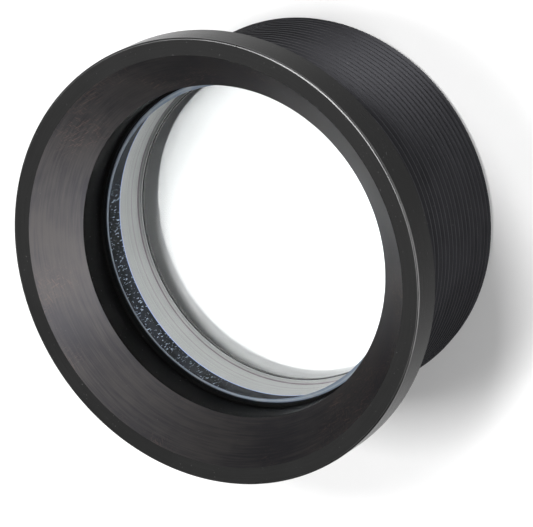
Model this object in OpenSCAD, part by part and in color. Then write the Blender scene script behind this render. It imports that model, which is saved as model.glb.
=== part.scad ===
// Bell-fronted auxiliary barlow lens: a turned housing with a wide conical mouth
// and a long fine mounting thread, a cemented doublet dropped in from the rear,
// and a screwed retaining ring that clamps it against a lip in the throat.
// Frame: origin at the centre of the rear face, +Z along the optical axis to the mouth.

/* [Housing] */
// Outer diameter of the bell rim
rim_d = 42.5; // [41.5:0.1:46]
// Overall length along the optical axis
body_l = 21.4; // [20.8:0.1:24]
// Length of the plain rim in front of the thread
rim_l = 3.4; // [3:0.1:4]
// Edge break on the rim's corners
rim_edge = 0.15; // [0.1:0.05:0.3]

/* [Mouth] */
// Diameter of the cone where it meets the front face
mouth_d = 39.2; // [38:0.1:40]
// Depth of the cone
cone_depth = 3.8; // [3:0.1:4.2]
// Diameter of the throat behind the cone
throat_d = 31.9; // [31.8:0.1:32.6]
// Depth from the front face to the underside of the seat lip
seat_depth = 7.5; // [7:0.1:8]
// Diameter inside the seat lip
lip_d = 31.4; // [31.3:0.1:31.6]
// Thickness of the seat lip
lip_t = 0.5; // [0.4:0.1:0.8]

/* [Mounting thread] */
// Crest diameter of the external thread
thread_d = 37; // [36.8:0.1:38]
// Pitch of the external thread
thread_p = 0.75; // [0.5:0.05:1]
// Width of the relief groove between the thread and the rim
relief_w = 1.0; // [0.6:0.1:1.5]
// Depth that the relief groove is cut into the back of the rim
shoulder_cut = 0.1; // [0.05:0.05:0.2]
// Height of the lead-in chamfer at the rear end
lead_in = 0.6; // [0.4:0.1:0.8]

/* [Glass] */
// Diameter of both lens elements
glass_d = 32; // [31.9:0.1:32]
// Height of the front surface's rim above the underside of the seat lip
glass_rise = 0.3; // [0.2:0.05:0.3]
// Leg of the bevel round the front surface
front_bevel = 0.8; // [0.8:0.1:0.9]
// Leg of the bevel round the rear surface
rear_bevel = 0.2; // [0.1:0.05:0.25]
// Edge thickness of the front element
front_edge = 5.6; // [4.5:0.1:6.5]
// Radius of the concave front surface
front_r = 400; // [200:10:800]
// Radius of the cemented surface, bulging towards the front
cement_r = 90; // [80:5:200]
// Thickness of the cement between the elements
cement_t = 0.05; // [0.04:0.01:0.1]
// Height of the doublet's flat rear surface above the rear face
glass_z = 2.9; // [2.8:0.1:3.4]

/* [Retaining ring] */
// Thickness of the retaining ring
ring_t = 1.2; // [1:0.1:1.2]
// Inner diameter of the retaining ring
ring_bore = 31.1; // [30:0.1:31.2]
// Outer diameter of the retaining ring
ring_d = 33.7; // [33.5:0.1:33.8]
// Height of the straight land at the top of the retaining ring's bore
ring_land = 0.25; // [0.2:0.05:0.4]
// Width of the two spanner slots
slot_w = 2.0; // [1.6:0.1:2.5]
// Depth of the two spanner slots
slot_h = 0.6; // [0.4:0.1:0.7]
// Thickness of the slip ring between the glass and the retaining ring
slip_t = 0.2; // [0.15:0.05:0.3]

/* [Hidden] */
$fn = 128;
arc_n = 16;

// External thread, a 60 degree form of the standard depth, cut as rings
thread_r = thread_d / 2;
thread_h = 0.613 * thread_p;
root_r = thread_r - thread_h;
flank = thread_h * tan(30);
crest = thread_p / 8;
thread_top = body_l - rim_l - relief_w;
turns = floor((thread_top - lead_in) / thread_p);
thread_z = thread_top - turns * thread_p;

// Bores, with a close sliding fit on what they hold
glass_r = glass_d / 2;
fit = 0.05;
seat_z = body_l - seat_depth;
lens_bore_r = glass_r + fit;
thread_bore_r = ring_d / 2 + fit;
ring_z = glass_z - slip_t - ring_t;
counterbore_step = 0.3;
counterbore_r = thread_bore_r + counterbore_step;
bore_edge = 0.2;
ring_edge = 0.1;
flare_r = ring_bore / 2 + ring_t - ring_land;
slip_inset = 0.25;
slip_r = ring_d / 2 - slip_inset;
slip_clear = 0.1;
slip_bore_r = ring_bore / 2 + slip_clear;
over = 1;

// Lens surfaces
front_z = seat_z + glass_rise;
mouth_glass_r = glass_r - front_bevel;
cement_z = front_z - front_edge;
shim_t = front_bevel - glass_rise - (glass_r - lip_d / 2);

// Height of a spherical surface of radius R above its rim of radius rim, at radius r
function sag(R, rim, r) = sqrt(R * R - r * r) - sqrt(R * R - rim * rim);

// Points from the axis to the rim of a lens face whose rim is at height z; it bulges
// towards +Z where s is 1 and is hollow where s is -1
function lens_face(R, rim, z, s) =
    [for (i = [0 : arc_n]) let (r = rim * i / arc_n) [r, z + s * sag(R, rim, r)]];

// The same points from the rim back to the axis
function reversed(p) = [for (i = [len(p) - 1 : -1 : 0]) p[i]];

// One groove of the thread, from its lower crest edge at height z to the next crest
function groove(z) = [
    [thread_r, z + crest],
    [root_r, z + crest + flank],
    [root_r, z + thread_p - flank],
    [thread_r, z + thread_p]
];

outer = [
    [thread_r - lead_in, 0],
    [thread_r, lead_in],
    [thread_r, thread_z],
    for (i = [0 : turns - 1]) each groove(thread_z + i * thread_p),
    [thread_r, thread_top + crest],
    [root_r, thread_top + crest + flank],
    [root_r, body_l - rim_l + shoulder_cut],
    [thread_r + shoulder_cut, body_l - rim_l + shoulder_cut],
    [thread_r + 2 * shoulder_cut, body_l - rim_l],
    [rim_d / 2 - rim_edge, body_l - rim_l],
    [rim_d / 2, body_l - rim_l + rim_edge],
    [rim_d / 2, body_l - rim_edge],
    [rim_d / 2 - rim_edge, body_l]
];

inner = [
    [mouth_d / 2, body_l],
    [throat_d / 2, body_l - cone_depth],
    [throat_d / 2, seat_z + lip_t],
    [lip_d / 2, seat_z + lip_t],
    [lip_d / 2, seat_z],
    [lens_bore_r, seat_z],
    [lens_bore_r, glass_z],
    [thread_bore_r, glass_z],
    [thread_bore_r, ring_z],
    [counterbore_r, ring_z],
    [counterbore_r, bore_edge],
    [counterbore_r + bore_edge, 0]
];

// Bell rim, cone, throat, seat lip and threaded barrel, turned in one piece
module housing() {
    color("#2a2a2d")
    rotate_extrude() polygon(concat(outer, inner));
}

// Thin black ring that cushions the glass under the seat lip
module seat_shim() {
    color("#0c0c0d")
    difference() {
        translate([0, 0, seat_z - shim_t]) cylinder(r = glass_r, h = shim_t);
        translate([0, 0, seat_z - shim_t - over]) cylinder(d = lip_d, h = shim_t + 2 * over);
    }
}

// Front element: concave in front, with a wide bevel, hollow behind
module front_element() {
    color("#dfe8ec", 0.4)
    rotate_extrude()
    polygon(concat(
        lens_face(front_r, mouth_glass_r, front_z, -1),
        [[glass_r, front_z - front_bevel]],
        reversed(lens_face(cement_r, glass_r, cement_z, 1))
    ));
}

// Film of optical cement that joins the two elements
module cement_layer() {
    color("#f3f1e6", 0.4)
    rotate_extrude()
    polygon(concat(
        lens_face(cement_r, glass_r, cement_z, 1),
        reversed(lens_face(cement_r, glass_r, cement_z - cement_t, 1))
    ));
}

// Rear element: domed into the front one, flat behind
module rear_element() {
    color("#d6dfe4", 0.4)
    rotate_extrude()
    polygon(concat(
        lens_face(cement_r, glass_r, cement_z - cement_t, 1),
        [[glass_r, glass_z + rear_bevel],
         [glass_r - rear_bevel, glass_z],
         [0, glass_z]]
    ));
}

// Thin pale ring that follows the retaining ring along the axis and keeps it off the glass
module slip_ring() {
    color("#c8c8c4")
    translate([0, 0, ring_z + ring_t])
    difference() {
        cylinder(r = slip_r, h = slip_t);
        translate([0, 0, -over]) cylinder(r = slip_bore_r, h = slip_t + 2 * over);
    }
}

// Retaining ring, flared towards the rear, with two slots for a spanner
module retaining_ring() {
    color("#1d1d1f")
    difference() {
        translate([0, 0, ring_z])
        rotate_extrude()
        polygon([
            [flare_r, 0],
            [ring_d / 2 - ring_edge, 0],
            [ring_d / 2, ring_edge],
            [ring_d / 2, ring_t - ring_edge],
            [ring_d / 2 - ring_edge, ring_t],
            [ring_bore / 2, ring_t],
            [ring_bore / 2, ring_t - ring_land]
        ]);
        translate([-ring_d, -slot_w / 2, ring_z - slot_h])
        cube([2 * ring_d, slot_w, 2 * slot_h]);
    }
}

housing();
seat_shim();
front_element();
cement_layer();
rear_element();
slip_ring();
retaining_ring();
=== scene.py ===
from math import atan, cos, pi, radians, sin, sqrt

import bmesh
import bpy
from mathutils import Matrix, Vector


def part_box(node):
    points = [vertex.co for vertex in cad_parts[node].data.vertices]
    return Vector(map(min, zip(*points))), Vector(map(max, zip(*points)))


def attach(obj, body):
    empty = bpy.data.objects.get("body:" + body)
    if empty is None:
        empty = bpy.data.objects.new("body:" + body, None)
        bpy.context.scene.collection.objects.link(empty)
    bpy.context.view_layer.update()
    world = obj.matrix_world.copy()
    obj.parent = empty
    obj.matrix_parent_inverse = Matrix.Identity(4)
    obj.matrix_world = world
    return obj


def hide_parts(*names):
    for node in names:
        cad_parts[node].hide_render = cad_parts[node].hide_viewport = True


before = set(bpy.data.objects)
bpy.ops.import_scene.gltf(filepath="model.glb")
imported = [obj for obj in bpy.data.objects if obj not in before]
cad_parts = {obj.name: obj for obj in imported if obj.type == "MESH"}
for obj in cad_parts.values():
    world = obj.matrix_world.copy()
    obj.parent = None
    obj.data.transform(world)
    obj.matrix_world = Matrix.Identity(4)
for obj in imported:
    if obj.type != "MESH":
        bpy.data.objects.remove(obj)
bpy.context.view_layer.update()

MM = 0.001

# Sizes that the frame gives, in metres: outer radii and the heights where parts meet.
_, housing_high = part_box("housing")
rear_low, rear_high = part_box("rear_element")
shim_low, shim_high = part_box("seat_shim")
slip_low, slip_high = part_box("slip_ring")
ring_low, ring_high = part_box("retaining_ring")

RIM_R = housing_high[0]
TOP = housing_high[2]
GLASS_R = rear_high[0]
GLASS_Z = rear_low[2]
SEAT_Z = shim_high[2]
SHIM_Z = shim_low[2]
SLIP_R = slip_high[0]
SLIP_Z = slip_low[2]
RING_R = ring_high[0]
RING_Z = ring_low[2]

# Sizes inside those boxes, the same as the CAD part's.
RIM_L = 3.4 * MM
RIM_EDGE = 0.15 * MM
MOUTH_R = 19.6 * MM
CONE_DEPTH = 3.8 * MM
THROAT_R = 15.95 * MM
LIP_R = 15.7 * MM
LIP_T = 0.5 * MM
THREAD_R = 18.5 * MM
THREAD_PITCH = 0.75 * MM
THREAD_DEPTH = 0.613 * THREAD_PITCH
RELIEF_W = 1.0 * MM
SHOULDER_CUT = 0.1 * MM
LEAD_IN = 0.6 * MM
FIT = 0.05 * MM
LENS_BORE_R = GLASS_R + FIT
COUNTERBORE_R = RING_R + FIT + 0.3 * MM
BORE_EDGE = 0.2 * MM
RING_BORE_R = 15.55 * MM
RING_LAND = 0.25 * MM
SLIP_BORE_R = RING_BORE_R + 0.1 * MM
SLOT_W = 2.0 * MM
SLOT_H = 0.6 * MM

FRONT_R = 400 * MM
FRONT_BEVEL = 0.8 * MM
FRONT_RIM_Z = SEAT_Z + 0.3 * MM
CEMENT_R = 90 * MM
CEMENT_RIM_Z = FRONT_RIM_Z - 5.6 * MM
CEMENT_T = 0.05 * MM
REAR_BEVEL = 0.2 * MM

# Sizes that the CAD part doesn't have: the retaining ring's own thread, of the pitch that its
# coupling gives, and the small breaks on the edges of the flat rings.
RING_PITCH = 0.5 * MM
RING_THREAD_DEPTH = 0.25 * MM
BROKEN_EDGE = 0.04 * MM

# The rim's edge is rounded in the looks. A row just beyond each end of its arc, this far from
# the corner, keeps the arc's shading to itself.
RIM_EDGE_STEPS = 4
RIM_EDGE_SUPPORT = 1.3 * RIM_EDGE

# How finely the pieces are divided, the angles in degrees above which an edge shows as sharp,
# and how close two vertices are when they are made one.
SEGMENTS = 288
LENS_STEPS = 20
METAL_SHARP = 25
GLASS_SHARP = 15
MERGE = 1e-7

# Material slots of both lens elements, and of the cement between them.
POLISHED, BEVEL, EDGE, JOINED = range(4)
FILM, FILM_EDGE = range(2)

# Materials work in metres too: a noise's scale is its number of waves per metre.
BUMP_DEPTH = 0.01 * MM

# Studio sizes, in metres.
TABLE_HALF = 3.0
TABLE_DROP = 0.02 * MM
SOFTBOX_DISTANCE = 0.7


# ---- Meshes -------------------------------------------------------------------------

def fixed(outline):
    """Rows of a turned surface from (r, z, slot) points: each row is the same all round."""
    def row(r, z):
        return lambda turn: (r, z)

    return [(row(r, z), slot) for r, z, slot in outline]


def helix(low, high, pitch, crest_r, root_r, slot, low_r=None, high_r=None, lag=0.0):
    """Rows of a right-hand screw thread that climb one pitch per turn and stop at low and high.

    form is the thread's profile as (share of the pitch, share of the depth): the crest and root
    are an eighth and a sixth of the pitch. low_r and high_r are the radii that 45 degree chamfers
    bring the thread to at low and high, by default its root. lag moves the crest along by that
    share of the pitch. A crest inside the root is an inner thread.
    """
    form = [(0, 0), (0.125, 0), (0.315, 0.5), (0.48, 1), (0.645, 1), (0.82, 0.5)]
    inward = 1 if crest_r > root_r else -1
    nearest_root = min if inward > 0 else max
    low_r = root_r if low_r is None else low_r
    high_r = root_r if high_r is None else high_r

    def row(start, depth):
        def at(turn):
            z = min(max(start + pitch * turn, low), high)
            r = crest_r + (root_r - crest_r) * depth
            low_end = low_r + inward * (z - low)
            high_end = high_r + inward * (high - z)
            return nearest_root(r, low_end, high_end), z
        return at

    rows = []
    for k in range(-2, int((high - low) / pitch) + 2):
        for phase, depth in form:
            rows.append((row(low + (k + phase + lag) * pitch, depth), slot))
    return rows


def turned(name, rows, materials, body, node, sharp=METAL_SHARP):
    """A closed mesh from a closed loop of rows round the optical axis, riding on body.

    Each row is a function from the share of a turn to (r, z), and the slot of the band after it.
    """
    mesh = bpy.data.meshes.new(name)
    bm = bmesh.new()
    grid = []
    for i in range(SEGMENTS + 1):
        a = 2 * pi * i / SEGMENTS
        ring = []
        for row, _ in rows:
            r, z = row(i / SEGMENTS)
            ring.append(bm.verts.new((r * cos(a), r * sin(a), z)))
        grid.append(ring)
    count = len(rows)
    for i in range(SEGMENTS):
        for j in range(count):
            k = (j + 1) % count
            face = bm.faces.new((grid[i][j], grid[i + 1][j], grid[i + 1][k], grid[i][k]))
            face.material_index = rows[j][1]
            face.smooth = True
    bmesh.ops.remove_doubles(bm, verts=bm.verts, dist=MERGE)
    bmesh.ops.dissolve_degenerate(bm, edges=bm.edges, dist=MERGE)
    bmesh.ops.recalc_face_normals(bm, faces=bm.faces)
    bm.to_mesh(mesh)
    bm.free()
    for material in materials:
        mesh.materials.append(material)
    mesh.set_sharp_from_angle(angle=radians(sharp))
    piece = bpy.data.objects.new(name, mesh)
    bpy.context.scene.collection.objects.link(piece)
    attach(piece, body)
    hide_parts(node)
    return piece


def sag(radius, rim, r):
    """Height of a sphere above its rim, at r."""
    return sqrt(radius * radius - r * r) - sqrt(radius * radius - rim * rim)


def lens_face(radius, rim, z, way, slot):
    """Outline points of a lens face from the axis out to its rim, which is at z.

    way is 1 for a face whose middle is above its rim and -1 for one whose middle is below.
    """
    points = []
    for i in range(LENS_STEPS + 1):
        r = rim * i / LENS_STEPS
        points.append((r, z + way * sag(radius, rim, r), slot))
    return points


def inwards(points, slot):
    """The same points from the rim back to the axis."""
    return [(r, z, slot) for r, z, _ in reversed(points)]


# ---- Materials ----------------------------------------------------------------------

class Shader:
    """A node material under construction."""

    def __init__(self, name):
        self.material = bpy.data.materials.new(name)
        self.material.use_nodes = True
        self.tree = self.material.node_tree
        self.tree.nodes.clear()
        self.output = self.node("ShaderNodeOutputMaterial")

    def node(self, kind, inputs=None, **settings):
        made = self.tree.nodes.new(kind)
        for key, value in settings.items():
            setattr(made, key, value)
        for key, value in (inputs or {}).items():
            self.feed(made.inputs[key], value)
        return made

    def feed(self, socket, value):
        if isinstance(value, bpy.types.NodeSocket):
            self.tree.links.new(value, socket)
        else:
            socket.default_value = value

    def math(self, operation, a, b=0.0, c=0.0):
        made = self.node("ShaderNodeMath", {0: a, 1: b, 2: c}, operation=operation)
        return made.outputs[0]

    def place(self):
        """The object coordinates, in metres."""
        return self.node("ShaderNodeTexCoord").outputs["Object"]

    def split(self, at):
        """The x, y and z of a place."""
        return self.node("ShaderNodeSeparateXYZ", {0: at}).outputs

    def from_axis(self, x, y):
        """The distance from the optical axis."""
        squares = self.math("ADD", self.math("MULTIPLY", x, x), self.math("MULTIPLY", y, y))
        return self.math("SQRT", squares)

    def noise(self, at, scale, detail=2.0, roughness=0.5):
        inputs = {"Vector": at, "Scale": scale, "Detail": detail, "Roughness": roughness}
        return self.node("ShaderNodeTexNoise", inputs).outputs["Fac"]

    def step(self, value, low, high):
        """A smooth step from 0 where value is low to 1 where it is high."""
        inputs = {"Value": value, "From Min": low, "From Max": high}
        made = self.node("ShaderNodeMapRange", inputs, interpolation_type="SMOOTHSTEP")
        return made.outputs[0]

    def blend(self, factor, a, b):
        """Colour a where factor is 0 and colour b where it is 1."""
        made = self.node("ShaderNodeMix", data_type="RGBA")
        self.feed(made.inputs[0], factor)
        self.feed(made.inputs[6], a)
        self.feed(made.inputs[7], b)
        return made.outputs[2]

    def vector(self, x, y, z):
        return self.node("ShaderNodeCombineXYZ", {0: x, 1: y, 2: z}).outputs[0]

    def stretch(self, at, by):
        """The place times by. A noise there is drawn out along the axes where by is small."""
        inputs = {0: at, 1: by}
        return self.node("ShaderNodeVectorMath", inputs, operation="MULTIPLY").outputs[0]

    def bump(self, height, strength):
        inputs = {"Height": height, "Strength": strength, "Distance": BUMP_DEPTH}
        return self.node("ShaderNodeBump", inputs).outputs[0]

    def mix_shader(self, factor, first, second):
        made = self.node("ShaderNodeMixShader", {0: factor})
        self.tree.links.new(first.outputs[0], made.inputs[1])
        self.tree.links.new(second.outputs[0], made.inputs[2])
        return made

    def finish(self, shader):
        self.tree.links.new(shader.outputs[0], self.output.inputs["Surface"])
        return self.material


def grey(value):
    return (value, value, value, 1)


def turned_metal(name, dark, light, roughness, ior, along_z=0.0, anisotropy=0.0, marks=0.3,
                 metallic=0.0, rim_tint=(1, 1, 1, 1), scuffs=0.0):
    """Black anodised aluminium, or plastic in its own colours, as it comes off the lathe.

    It has the tool's fine rings, a cloudy tone and fine dust.
    along_z is 0 on faces across the axis and 1 on walls along it. marks is the depth of the rings.
    rim_tint dims the gloss at grazing angles. scuffs is how strongly brown hairline scratches,
    crossing the rings in patches, wear through.
    """
    s = Shader(name)
    at = s.place()
    x, y, z = s.split(at)
    r = s.from_axis(x, y)

    # The tool's path: its distance along the turned surface, with a slight wander.
    across = s.math("ADD", s.math("MULTIPLY", r, 1 - along_z), s.math("MULTIPLY", z, along_z))
    wander = s.math("MULTIPLY", s.noise(at, scale=90), 0.06 * MM)
    line = s.math("ADD", across, wander)
    rings = s.noise(s.vector(line, 0.0, 0.0), scale=26000, detail=3, roughness=0.7)
    along = s.stretch(s.vector(x, y, line), (0.25, 0.25, 9))
    streaks = s.noise(along, scale=900, detail=3, roughness=0.6)

    clouds = s.noise(at, scale=140, detail=3, roughness=0.6)
    grain = s.noise(at, scale=9000, detail=2, roughness=0.6)
    tone = s.math("MULTIPLY_ADD", clouds, 0.5, s.math("MULTIPLY", streaks, 0.5))
    colour = s.blend(s.step(tone, 0.35, 0.65), dark, light)
    dust = s.math("MULTIPLY", s.step(s.noise(at, scale=5200, detail=1), 0.74, 0.8), 0.5)
    colour = s.blend(dust, colour, grey(0.12))
    if scuffs:
        along_x = s.noise(s.stretch(at, (0.05, 1, 0.2)), scale=14000, detail=1)
        along_y = s.noise(s.stretch(at, (1, 0.05, 0.2)), scale=12000, detail=1)
        hairs = s.step(s.math("MAXIMUM", along_x, along_y), 0.6, 0.72)
        patches = s.step(s.noise(at, scale=110, detail=1), 0.48, 0.66)
        wear = s.math("MULTIPLY", s.math("MULTIPLY", hairs, patches), scuffs)
        colour = s.blend(wear, colour, (0.2, 0.14, 0.12, 1))

    # The streaks and clouds average a half, so 0.13 keeps the mean roughness at the value asked.
    cloudy = s.math("MULTIPLY_ADD", clouds, 0.1, roughness - 0.13)
    relief = s.math("MULTIPLY_ADD", rings, marks, s.math("MULTIPLY", grain, 0.35))
    inputs = {
        "Base Color": colour,
        "Roughness": s.math("MULTIPLY_ADD", streaks, 0.16, cloudy),
        "IOR": ior,
        "Metallic": metallic,
        "Specular Tint": rim_tint,
        "Anisotropic": anisotropy,
        "Normal": s.bump(relief, 0.35),
    }
    if anisotropy:
        inputs["Tangent"] = s.node("ShaderNodeTangent", direction_type="RADIAL", axis="Z").outputs[0]
    return s.finish(s.node("ShaderNodeBsdfPrincipled", inputs))


def polished_glass(name, ior):
    """Coated polished glass.

    Rays to the lamps and rays that leave a dull surface go straight through it, so that it casts
    no dark shadow.
    """
    s = Shader(name)
    glass = s.node("ShaderNodeBsdfPrincipled", {
        "Base Color": (0.985, 0.99, 0.99, 1),
        "Roughness": 0.0,
        "IOR": ior,
        "Transmission Weight": 1.0,
    })
    clear = s.node("ShaderNodeBsdfTransparent", {"Color": (0.97, 0.98, 0.98, 1)})
    path = s.node("ShaderNodeLightPath")
    lit = s.mix_shader(path.outputs["Is Shadow Ray"], glass, clear)
    return s.finish(s.mix_shader(path.outputs["Is Diffuse Ray"], lit, clear))


def cemented_face(name):
    """Two glasses joined by cement of nearly the same index: light goes straight on."""
    s = Shader(name)
    return s.finish(s.node("ShaderNodeBsdfTransparent", {"Color": (0.995, 0.995, 0.995, 1)}))


def ground_glass(name, colour, line_colour, strength):
    """Finely ground glass: slightly mottled, with lines round it from the grinding wheel."""
    s = Shader(name)
    at = s.place()
    z = s.split(at)[2]
    level = s.math("ADD", z, s.math("MULTIPLY", s.noise(at, scale=60, detail=1), 0.2 * MM))
    lines = s.noise(s.vector(0.0, 0.0, level), scale=2600)
    mottle = s.noise(at, scale=500, detail=3, roughness=0.6)
    mark = s.math("MULTIPLY", s.step(lines, 0.5, 0.68), strength)
    tone = s.blend(mark, colour, line_colour)
    tone = s.blend(s.math("MULTIPLY", s.step(mottle, 0.45, 0.7), 0.25), tone, grey(0.45))
    return s.finish(s.node("ShaderNodeBsdfPrincipled", {
        "Base Color": tone,
        "Roughness": 0.55,
        "Normal": s.bump(s.noise(at, scale=6000), 0.3),
    }))


def blackened_edge(name, paint_from):
    """Black paint, chipped and scratched, on the ground edge of the front element; the chips and
    scratches are painted pale bluish white as glints of light.

    The paint starts at the height paint_from. Below it, by the cement, the edge is painted saturated
    blue, a painted colour fringe of light.
    """
    s = Shader(name)
    at = s.place()
    z = s.split(at)[2]
    upright = s.stretch(at, (6, 6, 1))
    scratches = s.step(s.noise(upright, scale=1100, detail=2, roughness=0.55), 0.61, 0.67)
    chips = s.step(s.noise(at, scale=3000), 0.68, 0.72)
    patches = s.step(s.noise(at, scale=90, detail=1), 0.47, 0.62)
    # The chips and scratches are real wear; their pale bluish white is a painted glint.
    wear_and_glints = s.math("MULTIPLY", s.math("MAXIMUM", scratches, chips), patches)
    # Below paint_from the edge is painted saturated blue: a painted colour fringe of light.
    painted_blue_fringe = s.math("SUBTRACT", 1.0, s.step(z, paint_from, paint_from + 0.2 * MM))
    thin = s.step(s.noise(at, scale=260), 0.4, 0.6)
    paint = s.blend(thin, (0.002, 0.003, 0.005, 1), (0.012, 0.015, 0.022, 1))
    colour = s.blend(wear_and_glints, paint, (0.42, 0.52, 0.66, 1))
    colour = s.blend(painted_blue_fringe, colour, (0.3, 0.45, 0.95, 1))
    inputs = {"Base Color": colour, "Roughness": 0.5, "IOR": 1.1}
    return s.finish(s.node("ShaderNodeBsdfPrincipled", inputs))


def film_edge_painted_fringe(name):
    """The cement's edge: a thin line painted cold, pale blue, a painted colour fringe of light."""
    s = Shader(name)
    # The pale blue is a painted colour fringe of light.
    colour = s.blend(s.noise(s.place(), scale=700), (0.55, 0.66, 0.95, 1), (0.85, 0.9, 1.0, 1))
    return s.finish(s.node("ShaderNodeBsdfPrincipled", {"Base Color": colour, "Roughness": 0.3}))


def paper(name):
    """White card with a barely visible tooth."""
    s = Shader(name)
    colour = s.blend(s.noise(s.place(), scale=400, detail=3), grey(0.9), grey(0.92))
    return s.finish(s.node("ShaderNodeBsdfDiffuse", {"Color": colour}))


# ---- The turned housing -------------------------------------------------------------

def make_housing():
    """The housing's outline goes up the outside, over the rim and down the inside."""
    face, cone, bore, rim, thread, edge = range(6)
    root_r = THREAD_R - THREAD_DEPTH
    thread_end = TOP - RIM_L - RELIEF_W + THREAD_DEPTH
    shoulder_z = TOP - RIM_L + SHOULDER_CUT
    outer = helix(0, thread_end, THREAD_PITCH, THREAD_R, root_r, thread, low_r=THREAD_R - LEAD_IN)
    outer += fixed([
        (root_r, shoulder_z, rim),
        (THREAD_R + SHOULDER_CUT, shoulder_z, rim),
        (THREAD_R + 2 * SHOULDER_CUT, TOP - RIM_L, rim),
        (RIM_R - RIM_EDGE, TOP - RIM_L, rim),
        (RIM_R, TOP - RIM_L + RIM_EDGE, rim),
        (RIM_R, TOP - RIM_EDGE_SUPPORT, rim),
    ])
    for i in range(RIM_EDGE_STEPS + 1):
        turn = pi / 2 * i / RIM_EDGE_STEPS
        r = RIM_R - RIM_EDGE * (1 - cos(turn))
        outer += fixed([(r, TOP - RIM_EDGE * (1 - sin(turn)), edge)])
    outer += fixed([(RIM_R - RIM_EDGE_SUPPORT, TOP, face)])
    inner = fixed([
        (MOUTH_R, TOP, cone),
        (THROAT_R, TOP - CONE_DEPTH, bore),
        (THROAT_R, SEAT_Z + LIP_T, bore),
        (LIP_R, SEAT_Z + LIP_T, bore),
        (LIP_R, SEAT_Z, bore),
        (LENS_BORE_R, SEAT_Z, bore),
        (LENS_BORE_R, GLASS_Z, bore),
    ])
    inner += reversed(helix(RING_Z, GLASS_Z, RING_PITCH, RING_R + FIT - RING_THREAD_DEPTH,
                            RING_R + FIT, bore, lag=0.5))
    inner += fixed([
        (COUNTERBORE_R, RING_Z, bore),
        (COUNTERBORE_R, BORE_EDGE, bore),
        (COUNTERBORE_R + BORE_EDGE, 0, bore),
    ])
    thread_dark = (0.028, 0.028, 0.031, 1)
    thread_light = (0.036, 0.036, 0.04, 1)
    cone_dark = (0.052, 0.051, 0.056, 1)
    cone_light = (0.082, 0.077, 0.077, 1)
    materials = [
        turned_metal("front_face_black", grey(0.008), grey(0.012), roughness=0.5, ior=1.22, marks=0.2),
        turned_metal("cone_satin", cone_dark, cone_light, roughness=0.4, ior=1.15, anisotropy=0.65,
                     marks=0.6, metallic=0.8, rim_tint=grey(0.4), scuffs=0.5),
        turned_metal("bore_black", grey(0.002), grey(0.004), roughness=0.45, ior=1.08, along_z=1.0,
                     marks=0.4),
        turned_metal("rim_black", grey(0.003), grey(0.005), roughness=0.25, ior=1.12, along_z=1.0),
        turned_metal("thread_black", thread_dark, thread_light, roughness=0.4, ior=1.3, along_z=1.0,
                     marks=0.2, metallic=0.6, rim_tint=grey(0.4)),
        turned_metal("edge_bright", grey(0.07), grey(0.1), roughness=0.3, ior=1.5, along_z=1.0,
                     marks=0.2, metallic=1.0),
    ]
    turned("housing_body", outer + inner, materials, "housing", "housing")


# ---- The cemented doublet -----------------------------------------------------------

def make_doublet():
    """Each outline starts on the axis at the top face, goes out over the edge and comes back."""
    polished = polished_glass("glass_polished", 1.52)
    joined = cemented_face("glass_cemented")
    bevel = ground_glass("glass_bevel", (0.16, 0.2, 0.26, 1), (0.36, 0.4, 0.44, 1), 0.7)
    crown_edge = blackened_edge("glass_edge_black", CEMENT_RIM_Z)
    flint_edge = ground_glass("glass_edge_ground", (0.4, 0.41, 0.4, 1), (0.17, 0.11, 0.15, 1), 1.0)
    flint_rim_z = CEMENT_RIM_Z - CEMENT_T

    mouth_r = GLASS_R - FRONT_BEVEL
    front = lens_face(FRONT_R, mouth_r, FRONT_RIM_Z, -1, POLISHED)
    front[-1] = (mouth_r, FRONT_RIM_Z, BEVEL)
    crown_back = lens_face(CEMENT_R, GLASS_R, CEMENT_RIM_Z, 1, JOINED)
    outline = front + [(GLASS_R, FRONT_RIM_Z - FRONT_BEVEL, EDGE)] + inwards(crown_back, JOINED)
    turned("crown_element", fixed(outline), [polished, bevel, crown_edge, joined],
           "housing", "front_element", GLASS_SHARP)

    film_top = lens_face(CEMENT_R, GLASS_R, CEMENT_RIM_Z, 1, FILM)
    film_top[-1] = (GLASS_R, CEMENT_RIM_Z, FILM_EDGE)
    film_back = lens_face(CEMENT_R, GLASS_R, flint_rim_z, 1, FILM)
    outline = film_top + inwards(film_back, FILM)
    turned("cement_film", fixed(outline), [joined, film_edge_painted_fringe("cement_edge_painted_fringe")],
           "housing", "cement_layer", GLASS_SHARP)

    flint_top = lens_face(CEMENT_R, GLASS_R, flint_rim_z, 1, JOINED)
    flint_top[-1] = (GLASS_R, flint_rim_z, EDGE)
    back_r = GLASS_R - REAR_BEVEL
    outline = flint_top + [
        (GLASS_R, GLASS_Z + REAR_BEVEL, EDGE),
        (back_r, GLASS_Z, POLISHED),
        (0, GLASS_Z, POLISHED),
    ]
    turned("flint_element", fixed(outline), [polished, flint_edge, flint_edge, joined],
           "housing", "rear_element", GLASS_SHARP)


# ---- Shim, slip ring and retaining ring ----------------------------------------------

def washer(bore_r, outer_r, low, high):
    """Rows of a flat ring whose four edges are slightly broken."""
    return fixed([
        (bore_r, low + BROKEN_EDGE, 0),
        (bore_r, high - BROKEN_EDGE, 0),
        (bore_r + BROKEN_EDGE, high, 0),
        (outer_r - BROKEN_EDGE, high, 0),
        (outer_r, high - BROKEN_EDGE, 0),
        (outer_r, low + BROKEN_EDGE, 0),
        (outer_r - BROKEN_EDGE, low, 0),
        (bore_r + BROKEN_EDGE, low, 0),
    ])


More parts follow.
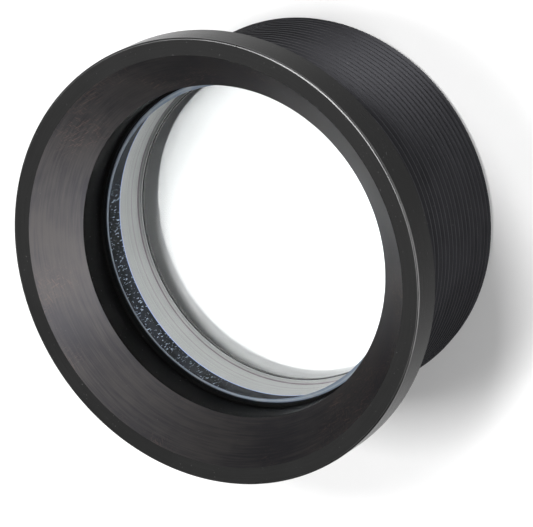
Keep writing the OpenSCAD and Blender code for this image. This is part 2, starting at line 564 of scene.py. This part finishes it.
def make_rings():
    shim = turned_metal("shim_black", grey(0.01), grey(0.014), roughness=0.6, ior=1.4)
    turned("shim_ring", washer(LIP_R, GLASS_R, SHIM_Z, SEAT_Z), [shim], "housing", "seat_shim")

    slip = turned_metal("slip_grey", grey(0.36), grey(0.42), roughness=0.5, ior=1.45, marks=0.5)
    turned("slip_washer", washer(SLIP_BORE_R, SLIP_R, SLIP_Z, GLASS_Z), [slip],
           "slip_ring", "slip_ring")

    # The bore of the retaining ring has a short land at the top and widens at 45 degrees below it.
    black = turned_metal("ring_black", grey(0.016), grey(0.026), roughness=0.34, ior=1.42, marks=0.6,
                         anisotropy=0.3)
    flare_r = RING_BORE_R + (SLIP_Z - RING_Z) - RING_LAND
    rows = fixed([(flare_r, RING_Z, 0)])
    rows += helix(RING_Z, SLIP_Z, RING_PITCH, RING_R, RING_R - RING_THREAD_DEPTH, 0)
    rows += fixed([(RING_BORE_R, SLIP_Z, 0), (RING_BORE_R, SLIP_Z - RING_LAND, 0)])
    ring = turned("ring_threaded", rows, [black], "retaining_ring", "retaining_ring")
    cut_slots(ring)


def cut_slots(ring):
    """Cuts the two spanner slots, which face each other along X, into the ring's rear face.

    One bar cuts both. It is centred on that face, so half its height goes in.
    """
    bpy.ops.mesh.primitive_cube_add(size=1, location=(0, 0, RING_Z))
    cutter = bpy.context.object
    cutter.scale = (3 * RING_R, SLOT_W, 2 * SLOT_H)
    cut = ring.modifiers.new("slots", "BOOLEAN")
    cut.operation = "DIFFERENCE"
    cut.solver = "EXACT"
    cut.object = cutter
    cut_ring = ring.evaluated_get(bpy.context.evaluated_depsgraph_get())
    mesh = bpy.data.meshes.new_from_object(cut_ring)
    ring.modifiers.clear()
    ring.data = mesh
    mesh.set_sharp_from_angle(angle=radians(METAL_SHARP))
    bpy.data.objects.remove(cutter)


# ---- Studio -------------------------------------------------------------------------

def direction(azimuth, elevation):
    a, e = radians(azimuth), radians(elevation)
    return Vector((cos(e) * cos(a), cos(e) * sin(a), sin(e)))


def softbox(name, azimuth, elevation, width, height, radiance):
    """An area light that faces the part. radiance is how bright its face looks."""
    light = bpy.data.lights.new(name, "AREA")
    light.shape = "RECTANGLE"
    light.size = width
    light.size_y = height
    light.energy = radiance * pi * width * height
    lamp = bpy.data.objects.new(name, light)
    towards = direction(azimuth, elevation)
    lamp.location = towards * SOFTBOX_DISTANCE
    lamp.rotation_euler = towards.to_track_quat("Z", "Y").to_euler()
    bpy.context.scene.collection.objects.link(lamp)


def snoot(name, height, reach, power):
    """A narrow beam straight down through the lens that whitens the table behind it.

    reach is the beam's radius where it meets the glass.
    """
    light = bpy.data.lights.new(name, "SPOT")
    light.spot_size = 2 * atan(reach / (height - FRONT_RIM_Z))
    light.spot_blend = 0.02
    light.shadow_soft_size = 0.002
    light.energy = power
    lamp = bpy.data.objects.new(name, light)
    lamp.location = (0, 0, height)
    bpy.context.scene.collection.objects.link(lamp)


def make_table():
    """White card just below the rear face, so that the two don't share a plane."""
    mesh = bpy.data.meshes.new("table")
    corners = [
        (-TABLE_HALF, -TABLE_HALF, 0),
        (TABLE_HALF, -TABLE_HALF, 0),
        (TABLE_HALF, TABLE_HALF, 0),
        (-TABLE_HALF, TABLE_HALF, 0),
    ]
    mesh.from_pydata(corners, [], [(0, 1, 2, 3)])
    mesh.materials.append(paper("table_white"))
    table = bpy.data.objects.new("table", mesh)
    table.location.z = -TABLE_DROP
    bpy.context.scene.collection.objects.link(table)


def make_lights():
    softbox("key_left", azimuth=328, elevation=63, width=0.22, height=0.22, radiance=22)
    softbox("key_back", azimuth=60, elevation=74, width=0.22, height=0.22, radiance=22)
    softbox("front_right", azimuth=250, elevation=31, width=0.3, height=0.18, radiance=8.5)
    softbox("front_left", azimuth=302, elevation=29, width=0.5, height=0.14, radiance=1.8)
    softbox("side_right", azimuth=215, elevation=15, width=0.5, height=0.3, radiance=7)
    snoot("snoot", height=0.6, reach=LIP_R, power=13)

    world = bpy.data.worlds.new("studio")
    world.use_nodes = True
    background = world.node_tree.nodes["Background"]
    background.inputs["Color"].default_value = grey(1)
    background.inputs["Strength"].default_value = 0.06
    bpy.context.scene.world = world


def make_picture():
    """Plain tones, and enough see-through steps for a ray to cross all the faces of the lens."""
    bpy.context.scene.view_settings.view_transform = "Standard"
    bpy.context.scene.cycles.transparent_max_bounces = 24


def make_camera():
    """A long lens that looks down from -Y, rolled so that the barrel points to the upper right."""
    elevation = 56.54
    roll = -119.74
    distance = 329.6 * MM
    aim = Vector((-2.45 * MM, -5.37 * MM, TOP))
    data = bpy.data.cameras.new("camera")
    data.sensor_width = 36
    data.lens = 245.6
    data.clip_start = 0.01
    camera = bpy.data.objects.new("camera", data)
    place = Matrix.Translation(aim + direction(-90, elevation) * distance)
    upright = Matrix.Rotation(radians(90 - elevation), 4, "X")
    rolled = Matrix.Rotation(radians(roll), 4, "Z")
    camera.matrix_world = place @ upright @ rolled
    bpy.context.scene.collection.objects.link(camera)
    bpy.context.scene.camera = camera


make_housing()
make_doublet()
make_rings()
make_table()
make_lights()
make_picture()
make_camera()
